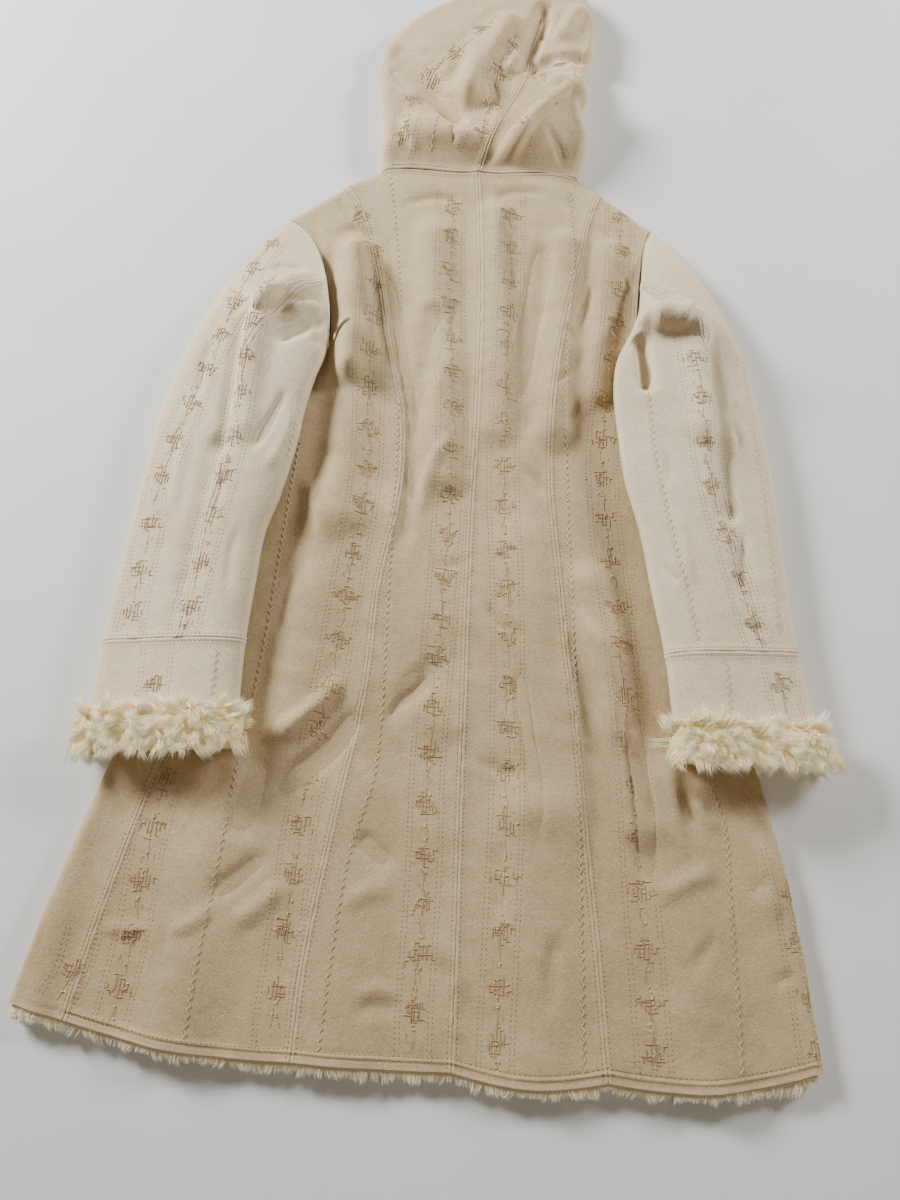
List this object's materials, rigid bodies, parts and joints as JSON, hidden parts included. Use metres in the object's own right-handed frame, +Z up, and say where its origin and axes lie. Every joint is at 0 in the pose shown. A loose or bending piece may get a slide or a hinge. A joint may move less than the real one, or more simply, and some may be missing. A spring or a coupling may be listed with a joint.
{
  "type": "hooded shearling coat",
  "caption": "Knee-length hooded shearling coat laid flat, face down: beige suede-like cloth with princess seams, and curly cream fur at the cuffs, hem and hood",
  "frame": {"origin": "middle of the coat's bounding box in plan, on the surface it lies on", "axes": "+X to the right as the back is seen, +Y from the hem to the hood, +Z up off the surface; the back faces up"},
  "size_m": [0.7268, 1.2254, 0.0555],
  "materials": {
    "suede_body": "beige suede-like nap, warmer and browner toward the hem",
    "suede_sleeve": "pale beige suede-like nap",
    "suede_hood": "beige suede-like nap",
    "fur": "cream curly pile in soft locks"
  },
  "bodies": {
    "root": {"back_centre_left": "suede_body", "back_centre_right": "suede_body", "back_side_left": "suede_body", "back_side_right": "suede_body", "front_left": "suede_body", "front_right": "suede_body", "sleeve_left_upper": "suede_sleeve", "sleeve_left_under": "suede_sleeve", "sleeve_right_upper": "suede_sleeve", "sleeve_right_under": "suede_sleeve", "cuff_left": "suede_sleeve", "cuff_right": "suede_sleeve", "cuff_fur_left": "fur", "cuff_fur_right": "fur", "hood_left": "suede_hood", "hood_right": "suede_hood", "hood_fur": "fur", "hem_pile_back": "fur", "hem_pile_front": "fur"}
  },
  "joints": []
}
